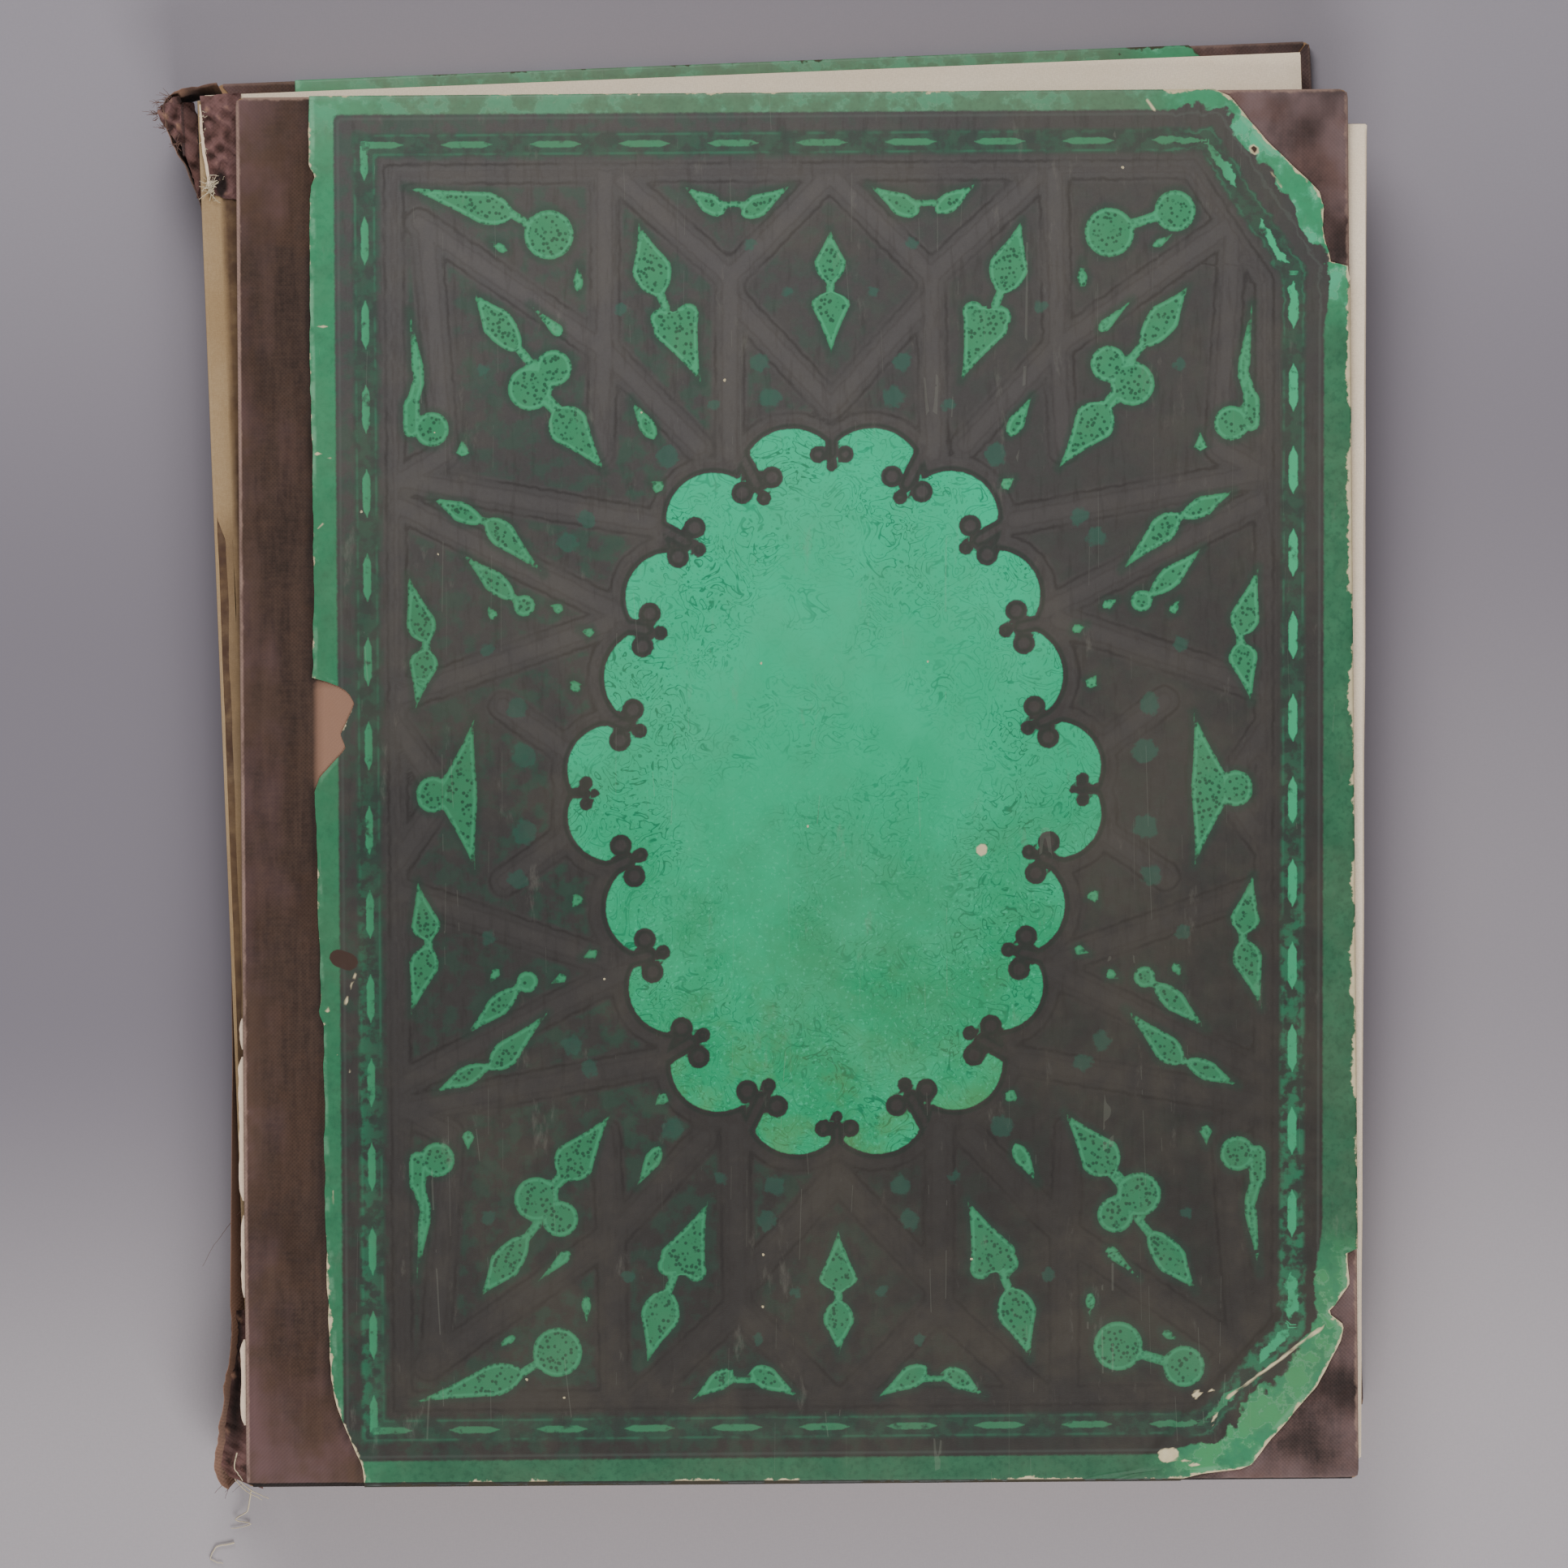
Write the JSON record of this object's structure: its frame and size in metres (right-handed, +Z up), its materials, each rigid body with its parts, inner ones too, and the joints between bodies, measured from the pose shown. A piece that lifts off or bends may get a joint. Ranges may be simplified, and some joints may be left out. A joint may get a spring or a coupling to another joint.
{
  "type": "scrapbook",
  "caption": "Worn half-cloth scrapbook lying closed: printed paper covers, cloth spine and corners, sewn leaves slid apart, hinged covers and leaves.",
  "frame": {"origin": "middle of the back cover's underside, on the surface the closed book lies on", "axes": "+Z up through the closed book, +Y towards its head, +X from the spine to the fore-edge of the back cover"},
  "size_m": [0.3286, 0.3974, 0.0318],
  "materials": {
    "leaf_paper": "matte",
    "board": "matte",
    "printed_paper": "satin",
    "bookcloth": "matte",
    "thread": "matte",
    "tape": "matte",
    "gauze": "matte",
    "brown_paper": "matte"
  },
  "bodies": {
    "text_block": {"section_4": "leaf_paper", "section_5": "leaf_paper", "section_6": "leaf_paper", "section_7": "leaf_paper", "section_8": "leaf_paper", "sewing_thread": "thread", "sewing_tapes": "tape", "mull": "gauze", "spine_lining": "brown_paper", "spine_cloth": "bookcloth", "back_flyleaf": "leaf_paper"},
    "upper_leaves": {"section_2": "leaf_paper", "section_3": "leaf_paper", "upper_thread": "thread", "upper_tape_ends": "tape", "shoulder_lining": "brown_paper"},
    "front_leaves": {"section_1": "leaf_paper", "front_flyleaf": "leaf_paper"},
    "front_cover": {"front_board": "board", "front_cloth_strip": "bookcloth", "front_head_corner": "bookcloth", "front_tail_corner": "bookcloth", "front_side_paper": "printed_paper", "front_pastedown": "leaf_paper"},
    "back_cover": {"back_board": "board", "back_cloth_strip": "bookcloth", "back_head_corner": "bookcloth", "back_tail_corner": "bookcloth", "back_side_paper": "printed_paper", "back_pastedown": "leaf_paper", "tape_slips": "tape"}
  },
  "joints": [
    {"name": "upper_leaves_turn", "type": "hinge", "parent": "text_block", "child": "upper_leaves", "pos_m": [-0.15601, 0, 0.01851], "axis": [0, -1, 0], "range_deg": [0, 30]},
    {"name": "front_leaves_turn", "type": "hinge", "parent": "upper_leaves", "child": "front_leaves", "pos_m": [-0.15122, -0.007, 0.0246], "axis": [-0.0314, -0.9995, 0], "range_deg": [0, 30]},
    {"name": "front_cover_hinge", "type": "hinge", "parent": "front_leaves", "child": "front_cover", "pos_m": [-0.15097, -0.00701, 0.02984], "axis": [-0.0314, -0.9995, 0], "range_deg": [0, 120]},
    {"name": "back_cover_hinge", "type": "hinge", "parent": "text_block", "child": "back_cover", "pos_m": [-0.15643, 0, 0.00073], "axis": [0, 1, 0], "range_deg": [0, 180]}
  ]
}
